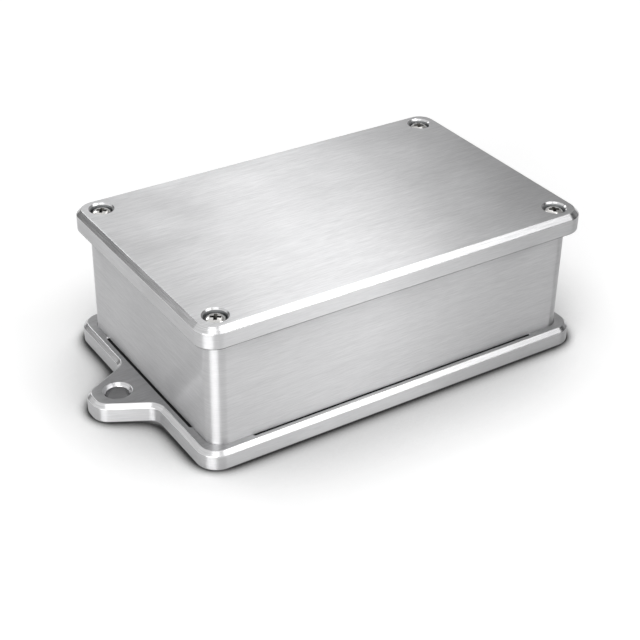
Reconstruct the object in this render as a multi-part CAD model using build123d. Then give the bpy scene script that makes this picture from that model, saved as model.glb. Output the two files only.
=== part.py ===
"""Die cast aluminium box: a screwed-down lid, a five-sided body and an eared base plate.

Frame: origin at the middle of the base plate's underside, +X along the box, +Z up, millimetres.
"""
import os
from math import isclose, radians, sqrt, tan

from build123d import *

# Overall height, from the plate's underside to the lid's top
total_height = 43.9

# Body
body_length = 119.6
body_width = 74.4
body_corner = 4.8
body_wall = 2.6
body_floor = 2.4
draft_angle = 1.0

# Corner columns that take the screws, and the screws' distance from the body's faces
column_radius = 4.6
nook_radius = 2.6
screw_inset = 3.85

# Lid, with its overhang past the body's faces
lid_overhang_x = 3.2
lid_overhang_y = 2.8
lid_thickness = 6.3
lid_corner = 6.0
lid_chamfer = 1.5
lid_skin = 2.6

# Straight ribs under the lid, which drop inside the body's walls and centre the lid
rib_depth = 2.0
rib_thickness = 1.6
rib_clearance = 0.3
rib_stop = 17.5

# Circuit board bosses on the body's floor
boss_spacing_x = 84.0
boss_spacing_y = 48.0
boss_radius = 3.2
boss_root_radius = 3.9
boss_height = 4.0
boss_hole_radius = 1.25
boss_hole_depth = 5.4

# Lid seal, a moulded ring in a groove of the lid
lid_seal_width = 1.4
lid_seal_height = 1.0
lid_seal_clearance = 0.05

# Base plate, with its ledge round the body's faces
plate_ledge_x = 3.6
plate_ledge_y = 3.4
plate_thickness = 5.5
plate_corner = 6.1
plate_chamfer = 1.2

# Ears of the base plate
ear_reach = 14.6
ear_root_width = 23.6
ear_nose_width = 8.1
ear_nose_round = 5.0
ear_root_round = 4.0
ear_hole_reach = 6.3
ear_hole_radius = 3.2
ear_hole_chamfer = 0.95

# Pocket of the base plate, which takes the body's foot, and its long side slots
pocket_depth = 2.4
pocket_clearance = 0.05
pocket_edge_chamfer = 0.25
slot_width = 0.8
side_slot_stop = 12.2
end_slot_stop = 11.4

# Base seal, a flat rubber frame under the body with a lip that stands up in each slot
base_seal_thickness = 0.8
base_seal_width = 12.0
base_seal_screw_margin = 2.5
base_seal_clearance = 0.05
seal_lip_sink = 0.25

# Lid screws, M3 pan head with a cross recess
thread_radius = 1.5
thread_clearance = 0.05
shank_clearance = 0.2
lid_screw_length = 12.0
lid_screw_sink = 0.45
pan_radius = 2.9
pan_height = 2.4
counterbore_clearance = 0.35
counterbore_chamfer = 0.45

# Cross recess of the lid screws
cross_length = 3.0
cross_width = 0.75
cross_depth = 0.9

# Base screws, M3 countersunk, driven from below
base_screw_length = 9.0
base_screw_sink = 0.15
csk_radius = 2.8
csk_height = 1.5
csk_clearance = 0.1

# Sizes and places that follow
lid_length = body_length + 2 * lid_overhang_x
lid_width = body_width + 2 * lid_overhang_y
plate_length = body_length + 2 * plate_ledge_x
plate_width = body_width + 2 * plate_ledge_y
screw_x = body_length / 2 - screw_inset
screw_y = body_width / 2 - screw_inset
ear_hole_x = plate_length / 2 + ear_hole_reach
lid_base_z = total_height - lid_thickness
pocket_floor_z = plate_thickness - pocket_depth
body_base_z = pocket_floor_z + base_seal_thickness
floor_z = body_base_z + body_floor
screw_seat_z = total_height - lid_screw_sink - pan_height

SCREW_SPOTS = {
    "front_left": (-screw_x, -screw_y),
    "front_right": (screw_x, -screw_y),
    "rear_left": (-screw_x, screw_y),
    "rear_right": (screw_x, screw_y),
}
SCREW_AXES = [Pos(x, y, 0) for x, y in SCREW_SPOTS.values()]
BOSS_SPOTS = GridLocations(boss_spacing_x, boss_spacing_y, 2, 2)


def cylinder(radius, bottom, top):
    """Upright cylinder between two heights."""
    return Pos(0, 0, bottom) * extrude(Circle(radius), top - bottom)


def cone(bottom_radius, top_radius, bottom, top):
    """Upright cone between two heights."""
    low = (Align.CENTER, Align.CENTER, Align.MIN)
    return Pos(0, 0, bottom) * Cone(bottom_radius, top_radius, top - bottom, align=low)


def cavity_outline(grow=0.0):
    """The body's inner outline, which steps round the four screw columns.

    A positive grow is the parallel line that much further out, a negative one further in.
    """
    wall_x = body_length / 2 - body_wall + grow
    wall_y = body_width / 2 - body_wall + grow
    bite = column_radius - grow
    nook = nook_radius + grow
    column = Vector(screw_x, screw_y)
    reach = bite + nook
    side_nook = Vector(screw_x - sqrt(reach**2 - (wall_y - nook - screw_y) ** 2), wall_y - nook)
    end_nook = Vector(wall_x - nook, screw_y - sqrt(reach**2 - (wall_x - nook - screw_x) ** 2))
    side_start = side_nook + Vector(0, nook)
    side_end = column + (side_nook - column).normalized() * bite
    end_start = column + (end_nook - column).normalized() * bite
    end_end = end_nook + Vector(nook, 0)

    def arc(start, end, centre, radius):
        middle = centre + ((start - centre) + (end - centre)).normalized() * radius
        return ThreePointArc(start, middle, end)

    corner = [
        arc(side_start, side_end, side_nook, nook),
        arc(side_end, end_start, column, bite),
        arc(end_start, end_end, end_nook, nook),
    ]
    half = corner + [mirror(edge, Plane.XZ) for edge in corner]
    half.append(Line(end_end, (end_end.X, -end_end.Y)))
    outline = half + [mirror(edge, Plane.YZ) for edge in half]
    for y in (side_start.Y, -side_start.Y):
        outline.append(Line((side_start.X, y), (-side_start.X, y)))
    return make_face(outline)


def make_lid():
    """Lid: chamfered slab, hollow below, with centring ribs, seal groove and counterbores."""
    lid = Pos(0, 0, lid_base_z) * extrude(RectangleRounded(lid_length, lid_width, lid_corner), lid_thickness)
    lid = chamfer(lid.edges().group_by(Axis.Z)[-1], lid_chamfer)

    hollow = cavity_outline(-rib_clearance - rib_thickness)
    lid -= Pos(0, 0, lid_base_z) * extrude(hollow, lid_thickness - lid_skin)
    outer_x = body_length - 2 * (body_wall + rib_clearance)
    outer_y = body_width - 2 * (body_wall + rib_clearance)
    side_rib = body_length - 2 * rib_stop
    end_rib = body_width - 2 * rib_stop
    ribs = Rectangle(side_rib, outer_y) - Rectangle(side_rib, outer_y - 2 * rib_thickness)
    ribs += Rectangle(outer_x, end_rib) - Rectangle(outer_x - 2 * rib_thickness, end_rib)
    lid += Pos(0, 0, lid_base_z - rib_depth) * extrude(ribs, rib_depth)

    groove_margin = (body_wall - lid_seal_width) / 2
    groove = cavity_outline(groove_margin + lid_seal_width + lid_seal_clearance)
    groove -= cavity_outline(groove_margin - lid_seal_clearance)
    lid -= Pos(0, 0, lid_base_z) * extrude(groove, lid_seal_height)

    well_radius = pan_radius + counterbore_clearance
    well = cylinder(well_radius, screw_seat_z, total_height)
    mouth = well_radius + counterbore_chamfer
    well += cone(well_radius, mouth, total_height - counterbore_chamfer, total_height)
    well += cylinder(thread_radius + shank_clearance, lid_base_z, screw_seat_z)
    for spot in SCREW_AXES:
        lid -= spot * well
    return lid


def make_lid_seal():
    """Lid seal: a ring along the body's rim and round the inside of the columns."""
    margin = (body_wall - lid_seal_width) / 2
    ring = cavity_outline(margin + lid_seal_width) - cavity_outline(margin)
    return Pos(0, 0, lid_base_z) * extrude(ring, lid_seal_height)


def make_body():
    """Body: five-sided casting with drafted inner walls, screw columns and board bosses."""
    outline = RectangleRounded(body_length, body_width, body_corner)
    body = Pos(0, 0, body_base_z) * extrude(outline, lid_base_z - body_base_z)

    depth = lid_base_z - floor_z
    narrowing = depth * tan(radians(draft_angle))
    body -= loft(
        [Pos(0, 0, floor_z) * cavity_outline(-narrowing), Pos(0, 0, lid_base_z) * cavity_outline()],
        ruled=True,
    )

    boss_top = floor_z + boss_height
    boss = cone(boss_root_radius, boss_radius, floor_z, boss_top)
    boss_hole = cylinder(boss_hole_radius, boss_top - boss_hole_depth, boss_top)
    for spot in BOSS_SPOTS:
        body += spot * boss
        body -= spot * boss_hole

    tapped = cylinder(thread_radius + thread_clearance, body_base_z, lid_base_z)
    for spot in SCREW_AXES:
        body -= spot * tapped
    return body


def slot_strips(clearance=0.0):
    """The four side slots seen from above, from the body's face outwards."""
    reach = 2 * (slot_width - clearance)
    side_strip = Rectangle(body_length - 2 * (side_slot_stop + clearance), body_width + reach)
    end_strip = Rectangle(body_length + reach, body_width - 2 * (end_slot_stop + clearance))
    return side_strip + end_strip


def make_base_plate():
    """Base plate: chamfered slab with an ear at each end and a pocket for the body's foot."""
    outline = RectangleRounded(plate_length, plate_width, plate_corner)
    root_x = plate_length / 2
    nose_x = root_x + ear_reach
    for side in (-1, 1):
        outline += make_face(
            Polyline(
                (side * (root_x - plate_corner), ear_root_width / 2),
                (side * root_x, ear_root_width / 2),
                (side * nose_x, ear_nose_width / 2),
                (side * nose_x, -ear_nose_width / 2),
                (side * root_x, -ear_root_width / 2),
                (side * (root_x - plate_corner), -ear_root_width / 2),
                close=True,
            )
        )
    noses = outline.vertices().group_by(lambda point: abs(point.X))[-1]
    outline = fillet(noses, ear_nose_round)
    roots = outline.vertices().filter_by(lambda point: isclose(abs(point.Y), ear_root_width / 2))
    outline = fillet(roots, ear_root_round)

    plate = extrude(outline, plate_thickness)
    plate = chamfer(plate.edges().group_by(Axis.Z)[-1], plate_chamfer)

    seat = RectangleRounded(
        body_length + 2 * pocket_clearance,
        body_width + 2 * pocket_clearance,
        body_corner + pocket_clearance,
    )
    pocket = Pos(0, 0, pocket_floor_z) * extrude(seat + slot_strips(), pocket_depth)
    plate -= pocket
    top_face = plate.faces().sort_by(Axis.Z)[-1]
    plate = chamfer(top_face.inner_wires()[0].edges(), pocket_edge_chamfer)

    ear_hole = cylinder(ear_hole_radius, 0, plate_thickness)
    mouth_z = plate_thickness - ear_hole_chamfer
    ear_hole += cone(ear_hole_radius, ear_hole_radius + ear_hole_chamfer, mouth_z, plate_thickness)
    for side in (-1, 1):
        plate -= Pos(side * ear_hole_x, 0, 0) * ear_hole

    sink_z = base_screw_sink + csk_height
    shank_hole = thread_radius + csk_clearance
    mouth = shank_hole + (csk_radius - thread_radius) * sink_z / csk_height
    screw_hole = cylinder(shank_hole, 0, pocket_floor_z)
    screw_hole += cone(mouth, shank_hole, 0, sink_z)
    for spot in SCREW_AXES:
        plate -= spot * screw_hole
    return plate


def make_base_seal():
    """Base seal: flat frame notched clear of the screws, with a lip standing in each slot."""
    under_body = Rectangle(body_length, body_width)
    notch_size = screw_inset + thread_radius + base_seal_screw_margin
    notch = Rectangle(2 * notch_size, 2 * notch_size)
    for spot in GridLocations(body_length, body_width, 2, 2):
        under_body -= spot * notch
    strips = slot_strips(base_seal_clearance)
    window = Rectangle(body_length - 2 * base_seal_width, body_width - 2 * base_seal_width)
    frame = under_body + strips - window
    seal = Pos(0, 0, pocket_floor_z) * extrude(frame, base_seal_thickness)

    beside = 2 * base_seal_clearance
    lips = strips - Rectangle(body_length + beside, body_width + beside)
    return seal + Pos(0, 0, pocket_floor_z) * extrude(lips, pocket_depth - seal_lip_sink)


def make_lid_screw():
    """M3 pan head screw, tip down, with the underside of its head at z 0."""
    screw = cylinder(thread_radius, -lid_screw_length, 0) + cylinder(pan_radius, 0, pan_height)
    cross = Rectangle(cross_length, cross_width) + Rectangle(cross_width, cross_length)
    return screw - Pos(0, 0, pan_height - cross_depth) * extrude(cross, cross_depth)


def make_base_screw():
    """M3 countersunk screw, tip up, with its flat head face at z 0."""
    profile = Polyline(
        (0, 0),
        (csk_radius, 0),
        (thread_radius, csk_height),
        (thread_radius, base_screw_length),
        (0, base_screw_length),
        close=True,
    )
    return revolve(Plane.XZ * make_face(profile), Axis.Z)


def main():
    """Write every piece to parts/, one STEP file each."""
    os.makedirs("parts", exist_ok=True)
    pieces = {
        "body": make_body(),
        "base_plate": make_base_plate(),
        "base_seal": make_base_seal(),
        "lid": make_lid(),
        "lid_seal": make_lid_seal(),
    }
    lid_screw = make_lid_screw()
    base_screw = make_base_screw()
    for name, (x, y) in SCREW_SPOTS.items():
        pieces[f"lid_screw_{name}"] = Pos(x, y, screw_seat_z) * lid_screw
        pieces[f"base_screw_{name}"] = Pos(x, y, base_screw_sink) * base_screw
    for node, shape in pieces.items():
        export_step(shape, f"parts/{node}.step")


if __name__ == "__main__":
    main()
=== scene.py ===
"""Dressed model of a die cast aluminium box: brushed lid, body and eared base plate, seals and screws.

Frame: metres, origin at the middle of the base plate's underside, +X along the box, +Z up.
"""
import logging
import math
from dataclasses import dataclass
from enum import Enum
from typing import Callable, Iterable, Sequence

import bmesh
import bpy
from bmesh.types import BMEdge, BMesh, BMFace, BMVert
from bpy.types import Material, Node, Object
from bpy.types import NodeSocket as Socket, NodeTree as Tree
from mathutils import Matrix, Quaternion, Vector


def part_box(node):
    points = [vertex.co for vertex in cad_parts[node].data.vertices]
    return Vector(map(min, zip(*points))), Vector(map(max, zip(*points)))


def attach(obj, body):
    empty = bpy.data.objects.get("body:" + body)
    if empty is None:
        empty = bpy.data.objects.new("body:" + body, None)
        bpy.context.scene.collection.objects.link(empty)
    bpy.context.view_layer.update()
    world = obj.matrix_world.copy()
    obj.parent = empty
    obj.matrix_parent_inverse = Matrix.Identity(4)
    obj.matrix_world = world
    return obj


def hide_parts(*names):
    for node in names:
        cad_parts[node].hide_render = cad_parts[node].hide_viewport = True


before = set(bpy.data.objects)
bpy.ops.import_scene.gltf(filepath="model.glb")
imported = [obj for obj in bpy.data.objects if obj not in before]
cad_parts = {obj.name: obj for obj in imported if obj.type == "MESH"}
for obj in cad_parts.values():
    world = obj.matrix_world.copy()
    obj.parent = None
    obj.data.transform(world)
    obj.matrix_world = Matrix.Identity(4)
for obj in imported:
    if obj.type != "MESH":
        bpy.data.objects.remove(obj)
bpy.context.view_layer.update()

LOG = logging.getLogger("die_cast_box")

# Shapes are built in millimetres and finishes in metres
MM = 0.001
TINY = 1e-4
UP = Vector((0, 0, 1))
# Upward part of a face's normal: a face above LEVEL lies flat and one below STEEP is a wall
LEVEL = 0.97
STEEP = 0.3

Spot = tuple[float, float]
ProfilePoint = tuple[float, float]
EasedPoint = tuple[float, float, float]
Noises = tuple[Socket, Socket, Socket]

SPOT_NAMES = ("front_left", "front_right", "rear_left", "rear_right")


def box_mm(node: str) -> tuple[Vector, Vector]:
    """Gives a CAD node's lowest and highest corners, in millimetres."""
    low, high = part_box(node)
    return low / MM, high / MM


def screw_spot(name: str) -> Spot:
    """Gives the x and y of a screw's axis, by the corner of the box in its node's name."""
    low, high = box_mm(f"lid_screw_{name}")
    return tuple(((low + high) / 2).xy)


SCREW_SPOTS = {name: screw_spot(name) for name in SPOT_NAMES}
LID_SCREW_HEAD = 2.4
# Where each lid screw came to rest, in degrees counter-clockwise
STOP_TURNS = {"front_left": -34, "front_right": -29, "rear_left": -38, "rear_right": -32}


class Grain(Enum):
    """Which way the brush lines run, as the axes that cross them and the axis of their tangent."""

    LENGTHWAYS = ((0, 1, 0), "Y")
    ROUND_THE_SIDES = ((0, 0, 1), "Z")


def linear(code: str) -> tuple[float, float, float, float]:
    """Turns an sRGB hex colour into linear red, green, blue and alpha.

    Args:
        code: six hex digits with a leading #.

    Returns:
        The linear colour.
    """
    parts = [int(code[i:i + 2], 16) / 255 for i in (1, 3, 5)]
    low_end = 0.04045
    red, green, blue = (p / 12.92 if p <= low_end else ((p + 0.055) / 1.055) ** 2.4 for p in parts)
    return red, green, blue, 1.0


def add_node(tree: Tree, kind: str, settings: dict) -> Node:
    """Adds a node and sets it up.

    Args:
        tree: node tree that takes the node.
        kind: Blender's type name, after ShaderNode.
        settings: values for the node's own properties or, by name or number, for its inputs. An output
            socket as the value is linked to the input.

    Returns:
        The new node.
    """
    made = tree.nodes.new("ShaderNode" + kind)
    for name, value in settings.items():
        if isinstance(value, Socket):
            tree.links.new(value, made.inputs[name])
        elif hasattr(made, str(name)):
            setattr(made, name, value)
        else:
            made.inputs[name].default_value = value
    return made


def combine(tree: Tree, operation: str, first: float | Socket, second: float | Socket) -> Socket:
    """Adds a Math node that joins two values, each a number or a socket."""
    return add_node(tree, "Math", {"operation": operation, 0: first, 1: second}).outputs[0]


def new_material(name: str) -> tuple[Material, Tree]:
    """Makes an empty node material.

    Args:
        name: name of the material.

    Returns:
        The material and its cleared node tree.
    """
    material = bpy.data.materials.new(name)
    material.use_nodes = True
    material.node_tree.nodes.clear()
    return material, material.node_tree


def streaks(tree: Tree, across: Sequence[float], width: float, length: float, detail: float) -> Socket:
    """Adds noise drawn out into lines.

    Args:
        tree: node tree that takes the nodes.
        across: 1 on each axis that crosses the lines and 0 on the others.
        width: width of a line, in metres.
        length: length of a line, in metres.
        detail: octaves of finer lines inside it.

    Returns:
        The noise's factor, from 0 to 1.
    """
    scale = [1 / width if flag else 1 / length for flag in across]
    place = add_node(tree, "TexCoord", {}).outputs["Object"]
    drawn = add_node(tree, "Mapping", {"Scale": scale, "Vector": place}).outputs[0]
    settings = {"Scale": 1.0, "Detail": detail, "Roughness": 0.62, "Vector": drawn}
    return add_node(tree, "TexNoise", settings).outputs["Fac"]


def specks(tree: Tree, size: float, detail: float) -> Socket:
    """Adds noise that has no direction."""
    return streaks(tree, (0, 0, 0), size, size, detail)


def spread(tree: Tree, source: Socket, low: float, high: float) -> Socket:
    """Maps the middle range of a noise onto two values.

    Args:
        tree: node tree that takes the node.
        source: noise factor.
        low: value where the noise is darkest.
        high: value where the noise is brightest.

    Returns:
        The mapped value.
    """
    settings = {"From Min": 0.3, "From Max": 0.7, "To Min": low, "To Max": high, "Value": source}
    return add_node(tree, "MapRange", settings).outputs[0]


@dataclass(frozen=True)
class Finish:
    """What all finishes share: two tones, a roughness that varies and a fine relief."""

    dark: str
    bright: str
    roughness: float
    smoother: float
    rougher: float
    pattern: float
    depth: float
    strength: float = 0.3
    detail: int = 2

    def noises(self, tree: Tree) -> Noises:
        """Adds one noise that drives all three: the tone, the roughness and the relief."""
        noise = specks(tree, self.pattern, self.detail)
        return noise, noise, noise

    def shading(self, tree: Tree) -> dict:
        """Gives the shader's further settings."""
        return {"Metallic": 1.0}

    def material(self, name: str) -> Material:
        """Builds the material.

        Args:
            name: name of the material.

        Returns:
            The node material.
        """
        material, tree = new_material(name)
        tone, wear, relief = self.noises(tree)
        ramp = add_node(tree, "ValToRGB", {"Fac": spread(tree, tone, 0, 1)})
        ramp.color_ramp.elements[0].color = linear(self.dark)
        ramp.color_ramp.elements[1].color = linear(self.bright)
        bump = add_node(tree, "Bump", {"Strength": self.strength, "Distance": self.depth, "Height": relief})
        settings = {
            "Base Color": ramp.outputs[0],
            "Roughness": spread(tree, wear, self.roughness - self.smoother, self.roughness + self.rougher),
            "Normal": bump.outputs[0],
            **self.shading(tree),
        }
        shader = add_node(tree, "BsdfPrincipled", settings)
        add_node(tree, "OutputMaterial", {"Surface": shader.outputs[0]})
        return material


@dataclass(frozen=True)
class BrushedAluminium(Finish):
    """Die cast aluminium alloy, faced flat and brushed with an abrasive belt.

    The belt leaves straight lines, so highlights smear across them and edges catch bright lines.
    """

    dark: str = "#c6c6c7"
    bright: str = "#e3e3e4"
    roughness: float = 0.4
    smoother: float = 0.03
    rougher: float = 0.05
    # A real belt line is about 0.08 mm wide: these are drawn coarser, so that they show
    pattern: float = 0.2 * MM
    depth: float = 0.008 * MM
    line_length: float = 4.5 * MM
    band_width: float = 1.4 * MM
    band_length: float = 26 * MM
    band_share: float = 0.25
    blotch: float = 22 * MM
    stretch: float = 1.0
    grain: Grain = Grain.LENGTHWAYS

    def noises(self, tree: Tree) -> Noises:
        """Adds fine lines in wider bands for the tone, blotches for the roughness and lines for the relief.

        Args:
            tree: node tree that takes the nodes.

        Returns:
            The three noises.
        """
        across = self.grain.value[0]
        lines = streaks(tree, across, self.pattern, self.line_length, 3)
        bands = streaks(tree, across, self.band_width, self.band_length, 2)
        both = add_node(tree, "Mix", {"Factor": self.band_share, "A": lines, "B": bands})
        return both.outputs[0], specks(tree, self.blotch, 1), lines

    def shading(self, tree: Tree) -> dict:
        """Stretches the highlights across the lines.

        Args:
            tree: node tree that takes the tangent.

        Returns:
            The shader's further settings.
        """
        tangent = add_node(tree, "Tangent", {"direction_type": "RADIAL", "axis": self.grain.value[1]})
        stretch = {"Anisotropic": self.stretch, "Anisotropic Rotation": 0.25, "Tangent": tangent.outputs[0]}
        return {"Metallic": 1.0, **stretch}


@dataclass(frozen=True)
class CastAluminium(Finish):
    """Die cast aluminium alloy as it leaves the die, shot-blasted to an even satin.

    The shot leaves fine round dimples, so the surface is duller than the brushed one and has no direction.
    """

    dark: str = "#9fa1a3"
    bright: str = "#bdbfc1"
    roughness: float = 0.46
    smoother: float = 0.05
    rougher: float = 0.06
    pattern: float = 0.35 * MM
    depth: float = 0.02 * MM
    strength: float = 0.4
    flow_mark: float = 14 * MM
    flow_share: float = 0.6

    def noises(self, tree: Tree) -> Noises:
        """Adds dimples with flow marks for the tone, flow marks for the roughness and dimples for the relief.

        Args:
            tree: node tree that takes the nodes.

        Returns:
            The three noises.
        """
        dimples, flow = specks(tree, self.pattern, 2), specks(tree, self.flow_mark, 3)
        both = add_node(tree, "Mix", {"Factor": self.flow_share, "A": dimples, "B": flow})
        return both.outputs[0], flow, dimples


@dataclass(frozen=True)
class MachinedAluminium(Finish):
    """Bare aluminium cut by a drill, tap or countersink.

    The tool leaves fine rings round the hole, brighter and smoother than the brushed faces.
    """

    dark: str = "#d0d0d1"
    bright: str = "#e8e8e9"
    roughness: float = 0.22
    smoother: float = 0.03
    rougher: float = 0.04
    # A fine cut's rings are about 0.1 mm apart: drawn at twice that, so that they show
    pattern: float = 0.2 * MM
    depth: float = 0.003 * MM
    ring_length: float = 8 * MM

    def noises(self, tree: Tree) -> Noises:
        """Adds level rings that drive all three."""
        rings = streaks(tree, (0, 0, 1), self.pattern, self.ring_length, self.detail)
        return rings, rings, rings


@dataclass(frozen=True)
class NickelPlatedSteel(Finish):
    """Cold-headed steel with a thin bright nickel coat.

    The coat is nearly a mirror and slightly warm, with faint waves left by the heading die.
    """

    dark: str = "#d6d4d1"
    bright: str = "#f1f0ee"
    roughness: float = 0.11
    smoother: float = 0.03
    rougher: float = 0.05
    pattern: float = 0.9 * MM
    depth: float = 0.012 * MM


@dataclass(frozen=True)
class RecessPaintedShadeNickel(Finish):
    """Nickel-plated steel inside a screw's cross recess, its colour darkened with painted shade.

    The recess is deep and little light gets in: the near-black colour paints that shade, and the surface is
    dull as well, so the cross reads nearly black.
    """

    dark: str = "#2b2a28"
    bright: str = "#5b5955"
    roughness: float = 0.42
    smoother: float = 0.05
    rougher: float = 0.08
    pattern: float = 0.5 * MM
    depth: float = 0.02 * MM


@dataclass(frozen=True)
class NitrileRubberWithPaintedShade(Finish):
    """Black nitrile rubber, moulded in a spark-eroded tool.

    The tool's fine grain makes the black slightly dusty where light grazes it. Its black is darker than the
    rubber's own: painted shade for the shadowed slot where the base seal shows between body and plate.
    """

    dark: str = "#060607"
    bright: str = "#101011"
    roughness: float = 0.62
    smoother: float = 0.06
    rougher: float = 0.08
    pattern: float = 0.4 * MM
    depth: float = 0.02 * MM
    strength: float = 0.4
    detail: int = 3

    def shading(self, tree: Tree) -> dict:
        """Gives rubber's own index, with its shine turned down so that the seal stays as dark as the shaded
        slot.
        """
        return {"IOR": 1.52, "Specular IOR Level": 0.15}


BRUSHED_TOP = BrushedAluminium().material("brushed_aluminium_lengthways")
# The base plate is brushed with a finer belt, and its colour is a darker copy of the brushed aluminium:
# painted shade for the dimmer reflections its top shows
LEDGE_PAINTED_SHADE = BrushedAluminium(
    dark="#a9a9aa", bright="#c9c9ca", roughness=0.34, stretch=0.8
).material("brushed_aluminium_ledge_painted_shade")
BRUSHED_SIDES = BrushedAluminium(
    dark="#cbcbcc", bright="#dfdfe0", depth=0.006 * MM, grain=Grain.ROUND_THE_SIDES
).material("brushed_aluminium_round_the_sides")
CAST = CastAluminium().material("shot_blasted_cast_aluminium")
# The lid's lower edge round is painted dark grey: a thin painted shadow line for the shade where the lid
# overhangs the body
LID_EDGE_PAINTED_SHADOW = CastAluminium(dark="#454647", bright="#5c5d5e").material("lid_edge_painted_shadow_line")
MACHINED = MachinedAluminium().material("machined_aluminium")
NICKEL = NickelPlatedSteel().material("nickel_plated_steel")
RECESS_PAINTED_SHADE = RecessPaintedShadeNickel().material("screw_recess_painted_shade")
RUBBER_PAINTED_SHADE = NitrileRubberWithPaintedShade().material("nitrile_rubber_painted_shade")


def eased(points: Sequence[EasedPoint], steps: int = 4) -> list[ProfilePoint]:
    """Rounds the corners of an open profile with tangent arcs.

    Args:
        points: across, height and radius of each corner; a radius of 0 keeps it sharp.
        steps: straight steps in each arc.

    Returns:
        Across and height of each point of the rounded profile.
    """
    places = [Vector(point[:2]) for point in points]
    rounded = [tuple(places[0])]
    for before, corner, after, point in zip(places, places[1:], places[2:], points[1:]):
        into, out = (corner - before).normalized(), (after - corner).normalized()
        turn = -into.angle_signed(out)
        radius = point[2]
        if radius < TINY or abs(turn) < TINY:
            rounded.append(tuple(corner))
            continue
        start = corner - into * radius * math.tan(abs(turn) / 2)
        side = Vector((-into.y, into.x)) * math.copysign(radius, turn)
        centre = start + side
        for step in range(steps + 1):
            rounded.append(tuple(centre + Matrix.Rotation(turn * step / steps, 2) @ -side))
    rounded.append(tuple(places[-1]))
    return rounded


def arc(bm: BMesh, start: BMVert, centre: Vector, turn: float, steps: int) -> BMVert:
    """Draws an arc from a vertex about an upright axis.

    Args:
        bm: mesh that takes the arc.
        start: vertex where it starts.
        centre: a point of the axis.
        turn: angle, counter-clockwise seen from above.
        steps: straight steps in the arc.

    Returns:
        The vertex where it ends.
    """
    made = bmesh.ops.spin(
        bm, geom=[start], cent=(centre.x, centre.y, start.co.z), axis=UP, angle=turn, steps=steps
    )
    return next(item for item in made["geom_last"] if isinstance(item, BMVert))


@dataclass(frozen=True)
class RoundedOutline:
    """Closed outline seen from above: corners in counter-clockwise order, each with its radius."""

    corners: tuple[EasedPoint, ...]
    steps: int

    @staticmethod
    def from_half(half: Sequence[EasedPoint], steps: int) -> "RoundedOutline":
        """Outline whose second half is the first one turned half round the origin."""
        return RoundedOutline((*half, *((-x, -y, radius) for x, y, radius in half)), steps)

    def loop(self, bm: BMesh, grow: float, z: float) -> list[BMEdge]:
        """Draws the line parallel to the outline at a height.

        Args:
            bm: mesh that takes the loop.
            grow: how far outside the outline it runs.
            z: its height.

        Returns:
            The loop's edges.
        """
        known = set(bm.edges)
        first = last = None
        places = [Vector((x, y)) for x, y, _ in self.corners]
        for index, (place, corner) in enumerate(zip(places, self.corners)):
            into = (place - places[index - 1]).normalized()
            out = (places[(index + 1) % len(places)] - place).normalized()
            turn = -into.angle_signed(out)
            side = math.copysign(1, turn)
            outward = Vector((into.y, -into.x)) + Vector((out.y, -out.x))
            moved = place + outward * grow / (1 + into.dot(out))
            radius = corner[2] + side * grow
            if corner[2] < TINY or radius < TINY:
                start = end = bm.verts.new((*moved, z))
            else:
                begin = moved - into * radius * math.tan(abs(turn) / 2)
                start = bm.verts.new((*begin, z))
                centre = begin + Vector((-into.y, into.x)) * side * radius
                end = arc(bm, start, centre, turn, self.steps)
            if last:
                bm.edges.new((last, start))
            first, last = first or start, end
        bm.edges.new((last, first))
        return [edge for edge in bm.edges if edge not in known]


@dataclass(frozen=True)
class CavityOutline:
    """The body's inner outline seen from above, which steps round the four screw columns."""

    wall_x: float
    wall_y: float
    column: Spot
    column_radius: float
    nook_radius: float
    steps: int = 8

    def loop(self, bm: BMesh, grow: float, z: float) -> list[BMEdge]:
        """Draws the line parallel to the outline at a height.

        Args:
            bm: mesh that takes the loop.
            grow: how far outside the outline it runs.
            z: its height.

        Returns:
            The loop's edges.
        """
        known = set(bm.edges)
        wall = Vector((self.wall_x + grow, self.wall_y + grow))
        bite, nook = self.column_radius - grow, self.nook_radius + grow
        column = Vector(self.column)
        rise, run = wall.y - nook - column.y, wall.x - nook - column.x
        side_nook = Vector((column.x - math.sqrt((bite + nook) ** 2 - rise**2), wall.y - nook))
        end_nook = Vector((wall.x - nook, column.y - math.sqrt((bite + nook) ** 2 - run**2)))
        side_turn = math.atan2(column.y - side_nook.y, column.x - side_nook.x) - math.pi / 2
        end_turn = -math.atan2(column.y - end_nook.y, column.x - end_nook.x)
        bite_turn = -math.pi / 2 - side_turn - end_turn
        vertex = bm.verts.new((side_nook.x, wall.y, z))
        vertex = arc(bm, vertex, side_nook, side_turn, self.steps)
        vertex = arc(bm, vertex, column, bite_turn, 2 * self.steps)
        arc(bm, vertex, end_nook, end_turn, self.steps)
        for axis in ("X", "Y"):
            chain = [edge for edge in bm.edges if edge not in known]
            ends = {vert for edge in chain for vert in edge.verts}
            bmesh.ops.mirror(bm, geom=chain + list(ends), matrix=Matrix(), merge_dist=0, axis=axis)
        chain = [edge for edge in bm.edges if edge not in known]
        loose = [vert for edge in chain for vert in edge.verts if len(vert.link_edges) == 1]
        for vert in loose:
            for other in loose:
                gap = other.co - vert.co
                along_side = abs(gap.y) < TINY < gap.x and abs(abs(vert.co.y) - wall.y) < TINY
                along_end = abs(gap.x) < TINY < gap.y and abs(abs(vert.co.x) - wall.x) < TINY
                if along_side or along_end:
                    bm.edges.new((vert, other))
        return [edge for edge in bm.edges if edge not in known]


def rectangle(low: Vector, high: Vector, radius: float) -> RoundedOutline:
    """Outline of an upright box's plan, with round corners.

    Args:
        low: lowest corner of the box.
        high: highest corner of the box.
        radius: radius of the upright corners.

    Returns:
        The outline.
    """
    x, y = (high.x - low.x) / 2, (high.y - low.y) / 2
    return RoundedOutline.from_half([(x, -y, radius), (x, y, radius)], 16)


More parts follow.
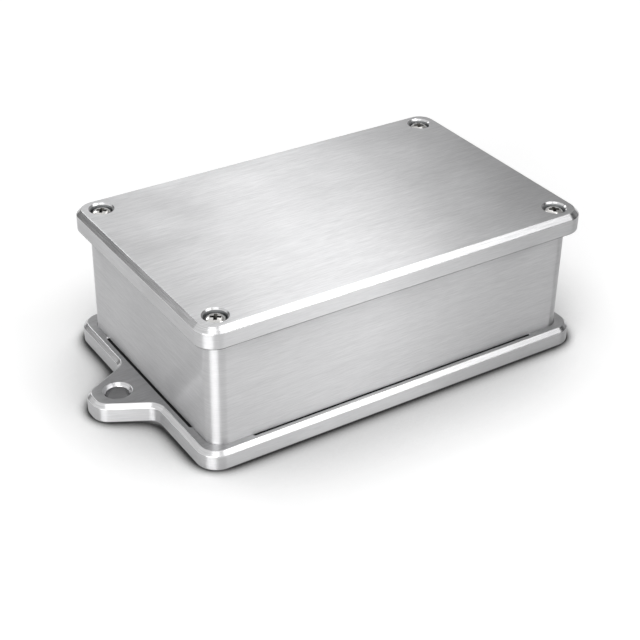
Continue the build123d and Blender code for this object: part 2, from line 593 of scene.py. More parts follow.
def skin(bm: BMesh, outline: RoundedOutline | CavityOutline, profile: Sequence[ProfilePoint]) -> None:
    """Stretches a wall round an outline, open at both ends.

    A level stretch at either end only leads an arc in, and is left to the flat face that closes the end.

    Args:
        bm: mesh that takes the wall.
        outline: outline that the wall follows.
        profile: how far outside the outline it runs, and at what height, from end to end.
    """
    rings = list(profile)
    if abs(rings[0][1] - rings[1][1]) < TINY:
        rings = rings[1:]
    if abs(rings[-1][1] - rings[-2][1]) < TINY:
        rings = rings[:-1]
    loops = [outline.loop(bm, grow, z) for grow, z in rings]
    for lower, upper in zip(loops, loops[1:]):
        bmesh.ops.bridge_loops(bm, edges=lower + upper)


def turn_profile(bm: BMesh, spots: Iterable[Spot], profile: Sequence[ProfilePoint], steps: int) -> None:
    """Turns a profile about upright axes.

    Args:
        bm: mesh that takes the surfaces.
        spots: x and y of each axis.
        profile: radius and height of each point.
        steps: straight steps in the circle.
    """
    for x, y in spots:
        verts = [bm.verts.new((x + radius, y, z)) for radius, z in profile]
        edges = [bm.edges.new(pair) for pair in zip(verts, verts[1:])]
        bmesh.ops.spin(
            bm, geom=verts + edges, cent=(x, y, 0), axis=UP, angle=2 * math.pi, steps=steps, use_merge=True
        )


def close_level(bm: BMesh, z: float) -> None:
    """Fills the flat face between all open rims at one height.

    Args:
        bm: mesh with the rims.
        z: the height.
    """
    open_edges = [edge for edge in bm.edges if len(edge.link_faces) == 1]
    rims = [edge for edge in open_edges if all(abs(vert.co.z - z) < TINY for vert in edge.verts)]
    bmesh.ops.triangle_fill(bm, use_beauty=True, edges=rims, normal=UP)


def make_piece(
    name: str,
    bm: BMesh,
    finishes: Sequence[Material],
    dress: Callable[[BMFace], Material],
    body: str,
    move: Matrix = Matrix(),
) -> None:
    """Closes a mesh, dresses its faces and puts it in the scene in place of its CAD node.

    Args:
        name: name of the CAD node that the piece stands for.
        bm: mesh of the piece, in millimetres.
        finishes: materials of the piece.
        dress: chooses a face's material among them.
        body: CAD body that carries the piece.
        move: takes the mesh to its place in the frame.
    """
    sharp_turn = math.radians(38)
    bmesh.ops.remove_doubles(bm, verts=bm.verts, dist=TINY)
    bmesh.ops.dissolve_degenerate(bm, edges=bm.edges, dist=TINY)
    bmesh.ops.recalc_face_normals(bm, faces=bm.faces)
    bm.normal_update()
    for face in bm.faces:
        face.smooth = True
        face.material_index = finishes.index(dress(face))
    for edge in bm.edges:
        edge.smooth = not edge.is_manifold or edge.calc_face_angle() < sharp_turn
    open_edges = sum(1 for edge in bm.edges if not edge.is_manifold)
    bmesh.ops.transform(bm, matrix=Matrix.Scale(MM, 4) @ move, verts=bm.verts)
    piece = link(f"{name}_dressed", to_mesh(name, bm))
    weighted = piece.modifiers.new("weighted_normals", "WEIGHTED_NORMAL")
    weighted.keep_sharp = True
    evaluated = piece.evaluated_get(bpy.context.evaluated_depsgraph_get())
    piece.data = bpy.data.meshes.new_from_object(evaluated)
    piece.modifiers.clear()
    for finish in finishes:
        piece.data.materials.append(finish)
    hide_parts(name)
    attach(piece, body)
    LOG.info("%s: %d faces, %d open edges", piece.name, len(piece.data.polygons), open_edges)


def to_mesh(name: str, bm: BMesh) -> bpy.types.Mesh:
    """Turns a bmesh into mesh data and frees it.

    Args:
        name: name of the mesh data.
        bm: the bmesh.

    Returns:
        The mesh data.
    """
    mesh = bpy.data.meshes.new(name)
    bm.to_mesh(mesh)
    bm.free()
    return mesh


def link(name: str, data: bpy.types.ID) -> Object:
    """Makes an object of some data and links it into the scene.

    Args:
        name: name of the object.
        data: its mesh, lamp or camera.

    Returns:
        The object.
    """
    made = bpy.data.objects.new(name, data)
    bpy.context.scene.collection.objects.link(made)
    return made


def near_spot(place: Vector, spots: Iterable[Spot], reach: float) -> bool:
    """Says whether a point is close to one of several upright axes."""
    return any(math.hypot(place.x - x, place.y - y) < reach for x, y in spots)


@dataclass(frozen=True)
class Casting:
    """Sizes that the lid, the body and the base plate share."""

    wall: float = 2.6
    column_radius: float = 4.6
    nook_radius: float = 2.6
    body_corner: float = 4.8

    def cavity(self) -> CavityOutline:
        """Gives the body's inner outline at its rim."""
        x, y, _ = box_mm("body")[1]
        spot = SCREW_SPOTS["rear_right"]
        return CavityOutline(x - self.wall, y - self.wall, spot, self.column_radius, self.nook_radius)


@dataclass(frozen=True)
class Lid:
    """Lid: chamfered slab with a hollow, seal groove and ribs below and four screw wells."""

    casting: Casting
    corner: float = 6.0
    chamfer: float = 1.5
    upper_edge_round: float = 0.3
    lower_edge_round: float = 0.35
    rim_round: float = 0.5
    outer_band: float = 3.0
    skin_thickness: float = 2.6
    hollow_inset: float = 1.9
    hollow_round: float = 0.4
    rib_thickness: float = 1.58
    rib_stop: float = 17.5
    rib_clearance: float = 0.3
    rib_round: float = 0.3
    groove_margin: float = 0.6
    groove_clearance: float = 0.05
    groove_depth: float = 1.0
    well_radius: float = 3.25
    well_mouth: float = 0.45
    well_floor_round: float = 0.2
    shank_hole: float = 1.7

    def build(self) -> None:
        """Builds and dresses the lid."""
        low, high = box_mm("lid")
        base = box_mm("body")[1].z
        seat = box_mm("lid_screw_front_left")[1].z - LID_SCREW_HEAD
        bm = bmesh.new()
        side = [
            (-self.rim_round * 2, base, 0),
            (0, base, self.rim_round),
            (0, high.z - self.chamfer, self.lower_edge_round),
            (-self.chamfer, high.z, self.upper_edge_round),
            (-self.chamfer - self.upper_edge_round, high.z, 0),
        ]
        skin(bm, rectangle(low, high, self.corner), eased(side, 6))
        mouth = self.well_radius + self.well_mouth
        well = [
            (mouth, high.z, 0),
            (self.well_radius, high.z - self.well_mouth, 0),
            (self.well_radius, seat, self.well_floor_round),
            (self.shank_hole, seat, 0),
            (self.shank_hole, base, 0),
        ]
        turn_profile(bm, SCREW_SPOTS.values(), eased(well), 48)
        close_level(bm, high.z)
        self._groove_and_hollow(bm, base, high.z)
        self._ribs(bm, low.z, base)

        def dress(face: BMFace) -> Material:
            """Chooses the finish of a face."""
            place, slope = face.calc_center_median(), face.normal.z
            below_top = place.z < high.z - TINY
            if near_spot(place, SCREW_SPOTS.values(), mouth + TINY) and below_top:
                return MACHINED if place.z > high.z - self.well_mouth or place.z < seat + TINY else CAST
            inside = abs(place.x) < high.x - self.outer_band and abs(place.y) < high.y - self.outer_band
            # The lower edge round outside the hollow takes the painted shadow line
            if base + TINY < place.z < base + self.lower_edge_round and slope < 0 and not inside:
                return LID_EDGE_PAINTED_SHADOW
            if slope < -STEEP or place.z < base + TINY or (inside and below_top):
                return CAST
            if slope > LEVEL:
                return BRUSHED_TOP
            return BRUSHED_SIDES if slope < STEEP else MACHINED

        finishes = [BRUSHED_TOP, BRUSHED_SIDES, MACHINED, CAST, LID_EDGE_PAINTED_SHADOW]
        make_piece("lid", bm, finishes, dress, "lid")

    def _groove_and_hollow(self, bm: BMesh, base: float, top: float) -> None:
        """Cuts the seal groove and the hollow into the underside.

        Args:
            bm: mesh of the lid.
            base: height of the underside.
            top: height of the top face.
        """
        cavity = self.casting.cavity()
        outer_grow = self.casting.wall - self.groove_margin + self.groove_clearance
        inner_grow = self.groove_margin - self.groove_clearance
        floor = base + self.groove_depth
        ceiling = top - self.skin_thickness
        skin(bm, cavity, [(outer_grow, base), (outer_grow, floor)])
        close_level(bm, base)
        skin(bm, cavity, [(inner_grow, base), (inner_grow, floor)])
        close_level(bm, floor)
        inset = -self.hollow_inset
        deeper = inset - self.hollow_round
        skin(bm, cavity, eased([(inset, base, 0), (inset, ceiling, self.hollow_round), (deeper, ceiling, 0)]))
        close_level(bm, base)
        close_level(bm, ceiling)

    def _ribs(self, bm: BMesh, low: float, base: float) -> None:
        """Adds the straight ribs that centre the lid inside the body's walls.

        Args:
            bm: mesh of the lid.
            low: height of the ribs' lower edges.
            base: height of the underside.
        """
        body = box_mm("body")[1]
        x, y = (size - self.casting.wall - self.rib_clearance for size in (body.x, body.y))
        thick = self.rib_thickness
        sizes = {
            (0, y - thick / 2): (2 * (body.x - self.rib_stop), thick),
            (x - thick / 2, 0): (thick, 2 * (body.y - self.rib_stop)),
        }
        for (x, y), (length, width) in sizes.items():
            for sign in (-1, 1):
                place = Matrix.Translation((sign * x, sign * y, (low + base) / 2))
                stretch = Matrix.Diagonal((length, width, base - low, 1))
                made = bmesh.ops.create_cube(bm, size=1, matrix=place @ stretch)
                edges = {edge for vert in made["verts"] for edge in vert.link_edges}
                lower = [edge for edge in edges if all(abs(vert.co.z - low) < TINY for vert in edge.verts)]
                rounding = {"offset": self.rib_round, "segments": 3, "profile": 0.5}
                bmesh.ops.bevel(bm, geom=lower, affect="EDGES", material=-1, **rounding)


@dataclass(frozen=True)
class Body:
    """Body: five-sided casting with drafted inner walls, screw columns and board bosses."""

    casting: Casting
    foot_round: float = 0.3
    rim_round: float = 0.2
    floor_thickness: float = 2.4
    floor_round: float = 1.2
    draft: float = math.radians(1.0)
    boss_spot: Spot = (42, 24)
    boss_radius: float = 3.2
    boss_root: float = 3.9
    boss_root_round: float = 0.6
    boss_top_round: float = 0.3
    boss_height: float = 4.0
    boss_hole: float = 1.25
    boss_hole_mouth: float = 0.25
    boss_hole_depth: float = 5.4
    boss_hole_cone: float = 0.3
    tapped_radius: float = 1.55
    pitch: float = 0.5
    thread_depth: float = 0.12
    threaded_length: float = 14

    def build(self) -> None:
        """Builds and dresses the body."""
        low, high = box_mm("body")
        corner = self.casting.body_corner
        bm = bmesh.new()
        side = [
            (-2 * self.foot_round, low.z, 0),
            (0, low.z, self.foot_round),
            (0, high.z, self.rim_round),
            (-2 * self.rim_round, high.z, 0),
        ]
        skin(bm, rectangle(low, high, corner), eased(side))
        turn_profile(bm, SCREW_SPOTS.values(), self._tapped(low.z, high.z), 32)
        close_level(bm, low.z)
        floor = low.z + self.floor_thickness
        narrow = -(high.z - floor) * math.tan(self.draft)
        inner = [(0, high.z, 0), (narrow, floor, self.floor_round), (narrow - self.floor_round, floor, 0)]
        skin(bm, self.casting.cavity(), eased(inner, 6))
        close_level(bm, high.z)
        boss_x, boss_y = self.boss_spot
        boss_spots = [(sx * boss_x, sy * boss_y) for sx in (-1, 1) for sy in (-1, 1)]
        top = floor + self.boss_height
        bottom = top - self.boss_hole_depth
        boss = [
            (self.boss_root + 1.5 * self.boss_root_round, floor, 0),
            (self.boss_root, floor, self.boss_root_round),
            (self.boss_radius, top, self.boss_top_round),
            (self.boss_hole + self.boss_hole_mouth, top, 0),
            (self.boss_hole, top - self.boss_hole_mouth, 0),
            (self.boss_hole, bottom, 0),
            (0, bottom - self.boss_hole_cone, 0),
        ]
        turn_profile(bm, boss_spots, eased(boss), 40)
        close_level(bm, floor)
        thread_reach = self.tapped_radius + 2 * self.thread_depth
        half_wall = self.casting.wall / 2
        corner_reach = math.hypot(high.x - corner, high.y - corner)

        def dress(face: BMFace) -> Material:
            """Chooses the finish of a face."""
            place = face.calc_center_median()
            tapped = near_spot(place, SCREW_SPOTS.values(), thread_reach)
            if tapped or near_spot(place, boss_spots, self.boss_hole + TINY) or place.z > high.z - TINY:
                return MACHINED
            outside = abs(place.x) > high.x - half_wall or abs(place.y) > high.y - half_wall
            return BRUSHED_SIDES if outside or math.hypot(place.x, place.y) > corner_reach else CAST

        make_piece("body", bm, [BRUSHED_SIDES, CAST, MACHINED], dress, "case")

    def _tapped(self, bottom: float, top: float) -> list[ProfilePoint]:
        """Profile of a tapped hole, with its thread drawn as rings near both ends.

        Args:
            bottom: height of the lower end.
            top: height of the upper end.

        Returns:
            Radius and height of each point.
        """
        groove = self.tapped_radius + self.thread_depth
        lower_length = self.threaded_length / 2
        points = [(groove, top)]
        for start, length in ((top, self.threaded_length), (bottom + lower_length, lower_length)):
            for turn in range(int(length / self.pitch) - 1):
                z = start - (turn + 0.5) * self.pitch
                points.append((self.tapped_radius, z))
                points.append((groove, z - self.pitch / 2))
        points.append((groove, bottom))
        return points


@dataclass(frozen=True)
class BasePlate:
    """Base plate: chamfered slab with an ear at each end and a pocket for the body's foot."""

    casting: Casting
    corner: float = 6.1
    chamfer: float = 1.2
    edge_round: float = 0.35
    base_round: float = 0.3
    ear_reach: float = 14.6
    ear_root_width: float = 23.6
    ear_nose_width: float = 8.1
    ear_nose_round: float = 5.0
    ear_root_round: float = 4.0
    ear_hole_reach: float = 6.3
    ear_hole_radius: float = 3.2
    ear_hole_mouth: float = 0.95
    pocket_depth: float = 2.4
    pocket_clearance: float = 0.05
    pocket_mouth: float = 0.25
    pocket_band: float = 1.0
    slot_width: float = 0.8
    slot_round: float = 0.38
    side_slot_stop: float = 12.2
    end_slot_stop: float = 11.4
    screw_hole: float = 1.6
    screw_mouth: float = 3.03
    screw_sink: float = 1.65

    def build(self) -> None:
        """Builds and dresses the base plate."""
        low, high = box_mm("base_plate")
        body = box_mm("body")[1]
        root_x = high.x - self.ear_reach
        floor = high.z - self.pocket_depth
        bm = bmesh.new()
        side = [
            (-2 * self.base_round, low.z, 0),
            (0, low.z, self.base_round),
            (0, high.z - self.chamfer, self.edge_round),
            (-self.chamfer, high.z, self.edge_round),
            (-self.chamfer - self.edge_round, high.z, 0),
        ]
        skin(bm, self._outline(root_x, high), eased(side))
        mouth = self.pocket_mouth
        skin(bm, self._pocket(body), [(mouth, high.z), (0, high.z - mouth), (0, floor)])
        ear_mouth = self.ear_hole_radius + self.ear_hole_mouth
        ear_hole = [
            (ear_mouth + self.edge_round, high.z, 0),
            (ear_mouth, high.z, self.edge_round),
            (self.ear_hole_radius, high.z - self.ear_hole_mouth, self.edge_round),
            (self.ear_hole_radius, low.z, 0),
        ]
        ear_spots = [(sign * (root_x + self.ear_hole_reach), 0) for sign in (-1, 1)]
        turn_profile(bm, ear_spots, eased(ear_hole), 64)
        hole, sink = self.screw_hole, low.z + self.screw_sink
        turn_profile(bm, SCREW_SPOTS.values(), [(hole, floor), (hole, sink), (self.screw_mouth, low.z)], 40)
        for level in (high.z, floor, low.z):
            close_level(bm, level)

        def dress(face: BMFace) -> Material:
            """Chooses the finish of a face."""
            place, slope = face.calc_center_median(), face.normal.z
            ear_cut = near_spot(place, ear_spots, ear_mouth + self.edge_round)
            if (ear_cut or near_spot(place, SCREW_SPOTS.values(), self.screw_mouth)) and abs(slope) < LEVEL:
                return MACHINED
            over_body = abs(place.x) < body.x + self.pocket_band and abs(place.y) < body.y + self.pocket_band
            if over_body and place.z < high.z - TINY:
                return MACHINED if place.z > high.z - mouth else CAST
            if slope < -STEEP:
                return CAST
            # The plate's level top takes the brushed finish darkened with painted shade
            if slope > LEVEL:
                return LEDGE_PAINTED_SHADE
            return BRUSHED_SIDES if slope < STEEP else MACHINED

        finishes = [LEDGE_PAINTED_SHADE, BRUSHED_SIDES, MACHINED, CAST]
        make_piece("base_plate", bm, finishes, dress, "case")

    def _outline(self, root_x: float, high: Vector) -> RoundedOutline:
        """Outline of the plate with its two ears.

        Args:
            root_x: x of the plate's end, where the ear starts.
            high: highest corner of the plate's box.

        Returns:
            The outline.
        """
        root, nose = self.ear_root_width / 2, self.ear_nose_width / 2
        half = [
            (root_x, -high.y, self.corner),
            (root_x, -root, self.ear_root_round),
            (high.x, -nose, self.ear_nose_round),
            (high.x, nose, self.ear_nose_round),
            (root_x, root, self.ear_root_round),
            (root_x, high.y, self.corner),
        ]
        return RoundedOutline.from_half(half, 12)

    def _pocket(self, body: Vector) -> RoundedOutline:
        """Outline of the pocket, with a slot in the middle of each side.

        Args:
            body: highest corner of the body's box.

        Returns:
            The outline.
        """
        x, y = body.x + self.pocket_clearance, body.y + self.pocket_clearance
        radius = self.casting.body_corner + self.pocket_clearance
        end_y, side_x = body.y - self.end_slot_stop, body.x - self.side_slot_stop
        slot_x, slot_y = body.x + self.slot_width, body.y + self.slot_width
        half = [
            (x, -y, radius),
            (x, -end_y, 0),
            (slot_x, -end_y, self.slot_round),
            (slot_x, end_y, self.slot_round),
            (x, end_y, 0),
            (x, y, radius),
            (side_x, y, 0),
            (side_x, slot_y, self.slot_round),
            (-side_x, slot_y, self.slot_round),
            (-side_x, y, 0),
        ]
        return RoundedOutline.from_half(half, 8)


@dataclass(frozen=True)
class Recess:
    """Cross recess of a screw, four tapered wings about the middle."""

    half_length: float = 1.5
    half_width: float = 0.48
    depth: float = 1.5
    taper: float = 0.6

    def cut(self, bm: BMesh, crown: float, shoulder: float) -> None:
        """Cuts the recess into the head of a screw on the z axis.

        Args:
            bm: mesh of the screw, head up.
            crown: height of the head's middle.
            shoulder: height below which the mesh is left alone.
        """
        for axis in range(2):
            for place in (self.half_length, self.half_width, -self.half_width, -self.half_length):
                faces = [face for face in bm.faces if face.calc_center_median().z > shoulder]
                geometry = {edge for face in faces for edge in face.edges}
                corners = {vert for face in faces for vert in face.verts}
                point, normal = Vector(), Vector()
                point[axis], normal[axis] = place, 1
                bmesh.ops.bisect_plane(
                    bm, geom=[*faces, *geometry, *corners], dist=TINY, plane_co=point, plane_no=normal
                )
        inside = [face for face in bm.faces if self._covers(face.calc_center_median(), shoulder)]
        bmesh.ops.delete(bm, geom=inside, context="FACES")
        rim = [edge for edge in bm.edges if len(edge.link_faces) == 1 and edge.verts[0].co.z > shoulder]
        made = bmesh.ops.extrude_edge_only(bm, edges=rim)["geom"]
        for vert in (item for item in made if isinstance(item, BMVert)):
            vert.co = Vector((vert.co.x * self.taper, vert.co.y * self.taper, crown - self.depth))
        floor = [item for item in made if isinstance(item, BMEdge)]
        bmesh.ops.triangle_fill(bm, use_beauty=True, edges=floor, normal=UP)

    def _covers(self, place: Vector, shoulder: float) -> bool:
        """Says whether a point lies in the plan of the cross, above the shoulder."""
        narrow, wide = sorted((abs(place.x), abs(place.y)))
        return place.z > shoulder and narrow < self.half_width and wide < self.half_length


@dataclass(frozen=True)
class Screw:
    """What both kinds of M3 screw share. Each is built on the z axis, head up, with its tip at 0."""

    kind: str
    # Body that carries the screw, or nothing where it is a body of its own
    carrier: str
    upside_down: bool
    recess: Recess
    # Radius, depth below the top and rounding of each corner of the head, from its seat up
    head: tuple[EasedPoint, ...]
    head_height: float
    # How far below the top the recess may change the mesh
    crown_height: float
    tip_height: float
    neck_length: float
    neck_round: float
    round_steps: int
    tip_radius: float = 0.85
    root: float = 1.24
    crest: float = 1.5
    pitch: float = 0.5
    overlap: float = 0.02
    thread_start: float = 0.6
    wall_slope: float = 0.8

    def build(self, name: str) -> None:
        """Builds and dresses one screw.

        Args:
            name: corner of the box where it sits.
        """
        node = f"{self.kind}_{name}"
        low, high = box_mm(node)
        top = high.z - low.z
        bm = bmesh.new()
        profile = [
            (0, 0, 0),
            (self.tip_radius, 0, 0),
            (self.root, self.tip_height, 0),
            (self.root, top - self.head_height, self.neck_round),
            *((radius, top - drop, rounding) for radius, drop, rounding in self.head),
            (0, top, 0),
        ]
        turn_profile(bm, [(0, 0)], eased(profile, self.round_steps), 48)
        bmesh.ops.remove_doubles(bm, verts=bm.verts, dist=TINY)
        self.recess.cut(bm, top, top - self.crown_height)
        self._thread(bm, top - self.head_height - self.neck_length)
        floor = top - self.recess.depth

        def dress(face: BMFace) -> Material:
            """Chooses the finish of a face."""
            place = face.calc_center_median()
            near = place.xy.length < self.recess.half_length and place.z > floor - TINY
            steep = abs(face.normal.z) < self.wall_slope or place.z < floor + TINY
            # Steep faces and the floor of the cross recess take the painted recess shade
            return RECESS_PAINTED_SHADE if near and steep else NICKEL

        if self.upside_down:
            turn, start = Matrix.Rotation(math.pi, 4, "X"), high.z
        else:
            turn, start = Matrix.Rotation(math.radians(STOP_TURNS[name]), 4, "Z"), low.z
        move = Matrix.Translation((*SCREW_SPOTS[name], start)) @ turn
        make_piece(node, bm, [NICKEL, RECESS_PAINTED_SHADE], dress, self.carrier or node, move)

    def _thread(self, bm: BMesh, high: float) -> None:
        """Winds the thread about the z axis.

        Args:
            bm: mesh of the screw.
            high: height of the thread's upper end.
        """
        steps = 28
        low = self.tip_height * self.thread_start
        turns = int((high - low) / self.pitch) - 1
        root = self.root - self.overlap
        flat, middle = self.pitch / 8, low + self.pitch / 2
        crests = [(self.crest, middle - flat / 2), (self.crest, middle + flat / 2)]
        section = [(root, low), *crests, (root, low + self.pitch)]
        verts = [bm.verts.new((radius, 0, z)) for radius, z in section]
        edges = [bm.edges.new(pair) for pair in zip(verts, verts[1:])]
        rise = Vector((0, 0, self.pitch / steps))
        winding = {"angle": 2 * math.pi * turns, "steps": steps * turns, "dvec": rise}
        bmesh.ops.spin(bm, geom=verts + edges, cent=(0, 0, 0), axis=UP, **winding)
        bmesh.ops.remove_doubles(bm, verts=bm.verts, dist=TINY)
        ends = [edge for edge in bm.edges if len(edge.link_faces) == 1]
        bmesh.ops.holes_fill(bm, edges=ends, sides=0)


@dataclass(frozen=True)
class LidScrew(Screw):
    """M3 pan head screw with a crowned head and a cross recess, which moves on its own."""

    kind: str = "lid_screw"
    carrier: str = ""
    upside_down: bool = False
    recess: Recess = Recess()
    head: tuple[EasedPoint, ...] = ((2.9, LID_SCREW_HEAD, 0.15), (2.9, 0.8, 0.85), (1.95, 0.13, 2.4))
    head_height: float = LID_SCREW_HEAD
    crown_height: float = 0.8
    tip_height: float = 0.7
    neck_length: float = 0.2
    neck_round: float = 0.0
    round_steps: int = 7


@dataclass(frozen=True)
class BaseScrew(Screw):
    """M3 countersunk screw, driven upwards, with a cross recess in its flat head."""

    kind: str = "base_screw"
    carrier: str = "case"
    upside_down: bool = True
    recess: Recess = Recess(half_length=1.45, half_width=0.4, depth=1.2)
    head: tuple[EasedPoint, ...] = ((2.8, 0.25, 0.05), (2.8, 0, 0.08))
    head_height: float = 1.5
    crown_height: float = 0.1
    tip_height: float = 0.6
    neck_length: float = 0.0
    neck_round: float = 0.2
    round_steps: int = 4


@dataclass(frozen=True)
class Seals:
    """The rubber ring under the lid and the rubber frame under the body, both as made in CAD."""

    nodes: tuple[str, ...] = ("lid_seal", "base_seal")

    def dress(self) -> None:
        """Gives both seals their rubber."""
        for node in self.nodes:
            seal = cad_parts[node]
            seal.data.materials.clear()
            # Both seals take the black rubber deepened with painted shade
            seal.data.materials.append(RUBBER_PAINTED_SHADE)
            LOG.info("%s: dressed in rubber", node)


def square(name: str, half: float) -> bpy.types.Mesh:
    """Makes a level square about the origin, of a given half width."""
    bm = bmesh.new()
    bmesh.ops.create_grid(bm, x_segments=1, y_segments=1, size=half)
    return to_mesh(name, bm)


@dataclass(frozen=True)
class Hung:
    """Something hung beside the set, facing the object.

    The bearing runs clockwise from +Y seen from above and the elevation above the floor, in degrees.
    """

    name: str
    bearing: float
    elevation: float
    distance: float

    def _hang(self, data: bpy.types.ID, roll: float = 0.0) -> Object:
        """Links the object and turns it to face the origin.

        Args:
            data: its mesh or lamp.
            roll: turn about its own line of sight, in degrees.

        Returns:
            The object.
        """
        around, above = math.radians(self.bearing), math.radians(self.elevation)
        level = math.cos(above)
        way = Vector((math.sin(around) * level, math.cos(around) * level, math.sin(above)))
        made = link(self.name, data)
        made.location = way * self.distance
        made.rotation_mode = "QUATERNION"
        made.rotation_quaternion = way.to_track_quat("Z", "Y") @ Quaternion(UP, math.radians(roll))
        return made


@dataclass(frozen=True)
class Flag(Hung):
    """Soft-edged grey disc, seen only by the metal."""

    radius: float
    level: float
    fade: float = 0.6

    def place(self) -> None:
        """Puts the disc up, facing the object."""
        mesh = square(self.name, 1)
        mesh.materials.append(self._paint())
        card = self._hang(mesh)
        card.scale = (self.radius, self.radius, 1)
        for ray in ("camera", "diffuse", "transmission", "volume_scatter", "shadow"):
            setattr(card, f"visible_{ray}", False)

    def _paint(self) -> Material:
        """Grey in the middle that fades to the white surroundings at the edge.

        Returns:
            The node material.
        """
        material, tree = new_material(self.name)
        place = add_node(tree, "TexCoord", {}).outputs["Object"]
        fade = add_node(tree, "TexGradient", {"gradient_type": "SPHERICAL", "Vector": place}).outputs[1]
        settings = {"interpolation_type": "SMOOTHSTEP", "From Min": 0.0, "From Max": self.fade, "Value": fade}
        shade = add_node(tree, "MapRange", settings).outputs[0]
        clear = add_node(tree, "BsdfTransparent", {}).outputs[0]
        card = add_node(tree, "Emission", {"Strength": self.level}).outputs[0]
        mix = add_node(tree, "MixShader", {0: shade, 1: clear, 2: card}).outputs[0]
        add_node(tree, "OutputMaterial", {"Surface": mix})
        return material


@dataclass(frozen=True)
class SoftBox(Hung):
    """Oval area lamp aimed at the object."""

    width: float
    height: float
    power: float
    roll: float = 0.0
    metal_only: bool = False

    def place(self) -> None:
        """Hangs the lamp."""
        data = bpy.data.lights.new(self.name, "AREA")
        data.shape = "ELLIPSE"
        data.size, data.size_y = self.width, self.height
        data.energy = self.power
        lamp = self._hang(data, self.roll)
        lamp.visible_diffuse = not self.metal_only


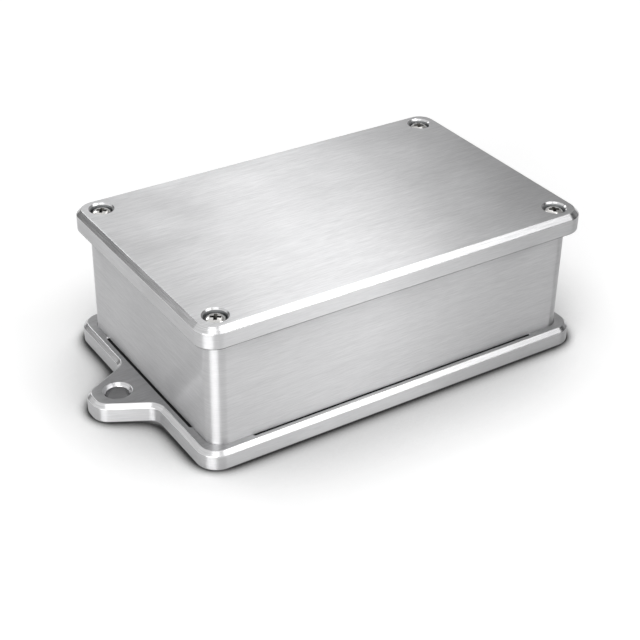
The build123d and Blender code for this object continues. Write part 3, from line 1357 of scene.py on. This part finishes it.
@dataclass(frozen=True)
class Studio:
    """Pale floor, white surroundings, soft boxes and grey flags."""

    floor_size: float = 6.0
    floor_colour: str = "#f4f4f4"
    floor_fill: float = 0.25
    # Share of the floor's fill that the metal sees
    metal_fill: float = 0.35
    sky_fill: float = 0.76
    # Reach of the floor's wide shadow and of the line where it meets the box
    shadow_reach: float = 50 * MM
    contact_reach: float = 10 * MM
    shadow_range: tuple[float, float] = (0.4, 0.97)
    shadow_level: float = 0.46
    # Openness of a spot close to the box, and how light the paper is there
    contact: tuple[Spot, ...] = ((0.3, 0.9), (0.45, 0.06), (0.59, 0.06), (0.86, 1.0))
    lamps: tuple[SoftBox, ...] = (
        SoftBox("front_right_softbox", 142, 48, 0.9, 0.6, 0.7, 1.03),
        SoftBox("front_left_top_softbox", 218, 57, 0.9, 0.5, 0.5, 0.5),
        # Close to the lid, so that its front rows catch it and its rear rows do not
        SoftBox("near_reflector", 125.5, 63.5, 0.336, 0.14, 0.1, 0.1, metal_only=True),
        SoftBox("front_strip", 152, 18, 0.9, 0.08, 0.6, 0.5),
        SoftBox("front_left_softbox", 234, 16, 1.2, 1.1, 0.7, 7.2),
        SoftBox("rear_right_strip", 45.5, 49.5, 0.9, 0.18, 0.9, 0.2, 38.7),
        SoftBox("rear_rim_light", -8, 33, 0.8, 0.35, 0.25, 0.5),
    )
    flags: tuple[Flag, ...] = (
        Flag("rear_left_flag", -17, 22, 0.9, 0.42, 0.2, 0.35),
        # Close to the lid, so that it darkens the rear rows of the top more than the front ones
        Flag("rear_card", 28, 6, 0.2, 0.2, 0.35, 0.5),
        Flag("right_flag", 90, 0, 0.9, 1.5, 0.28, 0.24),
        Flag("front_right_flag", 126, 10, 0.9, 0.62, 0.05, 0.35),
    )

    def build(self) -> None:
        """Sets up the floor, the surroundings, the lamps and the flags."""
        floor = link("floor", square("floor", self.floor_size / 2))
        floor.data.materials.append(self._floor_paint())
        self._surroundings()
        for item in (*self.lamps, *self.flags):
            item.place()
            LOG.info("%s: in place", item.name)

    def _shadow(self, tree: Tree, camera_ray: Socket) -> Socket:
        """Darkens the paper where the box stands close, the narrow line for the camera only.

        Args:
            tree: node tree that takes the nodes.
            camera_ray: 1 for a ray from the camera.

        Returns:
            How light the paper is.
        """
        wide, near = (
            add_node(tree, "AmbientOcclusion", {"Distance": reach, "samples": 16}).outputs["AO"]
            for reach in (self.shadow_reach, self.contact_reach)
        )
        start, end = self.shadow_range
        settings = {"From Min": start, "From Max": end, "To Min": self.shadow_level, "Value": wide}
        wide = add_node(tree, "MapRange", {"interpolation_type": "SMOOTHSTEP", **settings}).outputs[0]
        ramp = add_node(tree, "ValToRGB", {"Fac": near})
        stops = ramp.color_ramp.elements
        stops[0].position, stops[1].position = self.contact[0][0], self.contact[-1][0]
        for place, _ in self.contact[1:-1]:
            stops.new(place)
        for stop, (_, grey) in zip(stops, self.contact):
            stop.color = (grey, grey, grey, 1)
        near = combine(tree, "MAXIMUM", ramp.outputs[0], combine(tree, "SUBTRACT", 1.0, camera_ray))
        return combine(tree, "MULTIPLY", wide, near)

    def _floor_paint(self) -> Material:
        """White seamless paper, lit a little more for the camera and darkened where the box stands close.

        Returns:
            The node material.
        """
        material, tree = new_material("white_seamless_paper")
        rays = add_node(tree, "LightPath", {}).outputs
        shade = self._shadow(tree, rays["Is Camera Ray"])
        colour = linear(self.floor_colour)[:3]
        tint = add_node(tree, "VectorMath", {"operation": "SCALE", 0: colour, 3: shade}).outputs[0]
        paper = add_node(tree, "BsdfDiffuse", {"Color": tint}).outputs[0]
        metal = combine(tree, "MULTIPLY", rays["Is Glossy Ray"], self.metal_fill)
        seen = combine(tree, "MAXIMUM", rays["Is Camera Ray"], metal)
        level = combine(tree, "MULTIPLY", combine(tree, "MULTIPLY", shade, seen), self.floor_fill)
        glow = add_node(tree, "Emission", {"Strength": level}).outputs[0]
        both = add_node(tree, "AddShader", {0: paper, 1: glow}).outputs[0]
        add_node(tree, "OutputMaterial", {"Surface": both})
        return material

    def _surroundings(self) -> None:
        """White sky: full white to the camera and the metal, and a soft fill for everything else."""
        world = bpy.data.worlds.new("white_surroundings")
        bpy.context.scene.world = world
        world.use_nodes = True
        tree = world.node_tree
        tree.nodes.clear()
        rays = add_node(tree, "LightPath", {}).outputs
        seen = combine(tree, "MAXIMUM", rays["Is Camera Ray"], rays["Is Glossy Ray"])
        seen = combine(tree, "MAXIMUM", seen, rays["Is Transmission Ray"])
        level = add_node(tree, "MapRange", {"To Min": self.sky_fill, "To Max": 1.0, "Value": seen}).outputs[0]
        sky = add_node(tree, "Background", {"Strength": level}).outputs[0]
        add_node(tree, "OutputWorld", {"Surface": sky})


@dataclass(frozen=True)
class Camera:
    """Camera at the front left, above the box, as a short telephoto."""

    place: tuple[float, float, float] = (-205.1 * MM, -310.6 * MM, 242.2 * MM)
    aim: tuple[float, float, float] = (-1.0 * MM, 0.6 * MM, 5.3 * MM)
    roll: float = math.radians(1.03)
    lens: float = 82.3
    sensor: float = 36.0
    shift: Spot = (-0.0047, 0.002)

    def build(self) -> None:
        """Puts the camera up and makes it the scene's own."""
        data = bpy.data.cameras.new("camera")
        data.lens = self.lens
        data.sensor_width = self.sensor
        data.shift_x, data.shift_y = self.shift
        data.clip_start = 10 * MM
        camera = link("camera", data)
        camera.location = self.place
        camera.rotation_mode = "QUATERNION"
        level = (Vector(self.aim) - Vector(self.place)).to_track_quat("-Z", "Y")
        camera.rotation_quaternion = level @ Quaternion(UP, self.roll)
        bpy.context.scene.camera = camera


def main() -> None:
    """Builds the camera, the studio and every piece of the box."""
    logging.basicConfig(level=logging.INFO, format="%(message)s")
    bpy.context.scene.view_settings.view_transform = "Standard"
    Camera().build()
    Studio().build()
    casting = Casting()
    Lid(casting).build()
    Body(casting).build()
    BasePlate(casting).build()
    Seals().dress()
    for name in SPOT_NAMES:
        LidScrew().build(name)
        BaseScrew().build(name)


if __name__ == "__main__":
    main()
